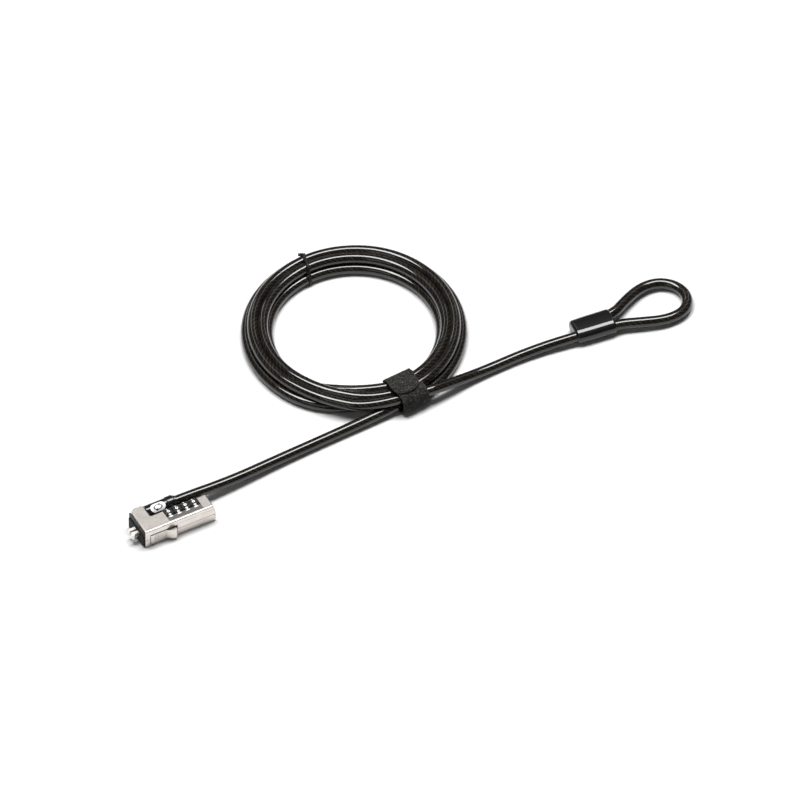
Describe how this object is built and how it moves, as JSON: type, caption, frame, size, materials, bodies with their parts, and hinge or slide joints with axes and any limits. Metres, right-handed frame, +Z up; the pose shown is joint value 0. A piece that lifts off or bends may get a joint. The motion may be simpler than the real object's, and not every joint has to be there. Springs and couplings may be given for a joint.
{
  "type": "laptop cable lock",
  "caption": "Combination cable lock: nickel head with number dials, press lever and hooked tip, swivel barrel, coiled steel cable with crimped end loop and strap.",
  "frame": {"origin": "on the lock head's flat base face, midway along the head", "axes": "+X along the head from the locking tip to the far end, -Y towards the thumb lever, +Z up out of the dials"},
  "size_m": [0.3251, 0.1372, 0.0124],
  "materials": {
    "nickel": "satin nickel plating on die-cast zinc",
    "white_paint": "white paint and print",
    "dark_steel": "blackened steel",
    "black_shell": "glossy black",
    "tip_rubber": "matte black rubber",
    "bright_steel": "bright machined steel",
    "zinc": "bare zinc casting",
    "brass": "turned brass",
    "dial_black": "black with white digits",
    "cable_jacket": "glossy black jacket over twisted steel",
    "ferrule": "crimped",
    "hook_and_loop": "matte fuzzy loop pile",
    "tie_black": "black coated wire"
  },
  "bodies": {
    "cable": {"swivel_barrel": "black_shell", "cable_collar": "black_shell", "barrel_badge": "white_paint", "cable_lead": "cable_jacket", "cable_coil": "cable_jacket", "cable_tail": "cable_jacket", "cable_loop": "cable_jacket", "crimp_ferrule": "ferrule", "sleeve_cover": "black_shell", "cable_strap": "hook_and_loop", "twist_tie": "tie_black"},
    "knuckle": {"swivel_knuckle": "bright_steel", "swivel_rivet": "bright_steel"},
    "head": {"housing_base": "nickel", "housing_top": "nickel", "index_marks": "white_paint", "housing_screws": "dark_steel", "end_plate": "black_shell", "tip_pad": "tip_rubber", "jaw_pins": "bright_steel", "spindle_bush": "brass", "detent_spring": "bright_steel", "lever_pin": "dark_steel", "hinge_pin": "bright_steel", "slide_spring": "bright_steel"},
    "slide": {"slide_block": "zinc", "code_spindle": "brass"},
    "front_jaw": {"front_jaw": "bright_steel"},
    "back_jaw": {"back_jaw": "bright_steel"},
    "lever": {"thumb_lever": "nickel"},
    "selector": {"code_selector": "zinc"},
    "dial_1": {"dial_1": "dial_black", "code_ring_1": "brass"},
    "dial_2": {"dial_2": "dial_black", "code_ring_2": "brass"},
    "dial_3": {"dial_3": "dial_black", "code_ring_3": "brass"},
    "dial_4": {"dial_4": "dial_black", "code_ring_4": "brass"}
  },
  "joints": [
    {"name": "barrel_swivel", "type": "hinge", "parent": "cable", "child": "knuckle", "pos_m": [-0.0119, 0.0078, 0.0067], "axis": [1, 0, 0], "continuous": true},
    {"name": "head_hinge", "type": "hinge", "parent": "knuckle", "child": "head", "pos_m": [-0.0156, 0.0078, 0.0067], "axis": [0, 0, 1], "range_deg": [-90, 0]},
    {"name": "lever_press", "type": "hinge", "parent": "head", "child": "lever", "pos_m": [-0.0161, -0.0067, 0.0041], "axis": [0, 0, 1], "range_deg": [0, 6], "stiffness_Nm_per_rad": 0.03, "springref_deg": -5.73},
    {"name": "slide_travel", "type": "slide", "parent": "head", "child": "slide", "axis": [1, 0, 0], "range_m": [-0.0008, 0], "deforming": ["slide_spring"]},
    {"name": "front_jaw_pivot", "type": "hinge", "parent": "head", "child": "front_jaw", "pos_m": [-0.014, -0.0014, 0.0053], "axis": [0, 0, 1], "range_deg": [-2.25, 0]},
    {"name": "back_jaw_pivot", "type": "hinge", "parent": "head", "child": "back_jaw", "pos_m": [-0.014, 0.0014, 0.0053], "axis": [0, 0, 1], "range_deg": [0, 2.25]},
    {"name": "code_select", "type": "hinge", "parent": "head", "child": "selector", "pos_m": [0.01975, -0.0046, 0.0029], "axis": [1, 0, 0], "range_deg": [0, 90]},
    {"name": "dial_1_turn", "type": "hinge", "parent": "head", "child": "dial_1", "pos_m": [-0.003, -0.0001, 0.0077], "axis": [1, 0, 0], "continuous": true},
    {"name": "dial_2_turn", "type": "hinge", "parent": "head", "child": "dial_2", "pos_m": [0.0017, -0.0001, 0.0077], "axis": [1, 0, 0], "continuous": true},
    {"name": "dial_3_turn", "type": "hinge", "parent": "head", "child": "dial_3", "pos_m": [0.0064, -0.0001, 0.0077], "axis": [1, 0, 0], "continuous": true},
    {"name": "dial_4_turn", "type": "hinge", "parent": "head", "child": "dial_4", "pos_m": [0.0111, -0.0001, 0.0077], "axis": [1, 0, 0], "continuous": true}
  ],
  "couplings": [
    {"joint": "slide_travel", "follows": "lever_press", "m_per_rad": -0.0071868},
    {"joint": "front_jaw_pivot", "follows": "lever_press", "ratio": -0.36667},
    {"joint": "back_jaw_pivot", "follows": "lever_press", "ratio": 0.36667}
  ]
}
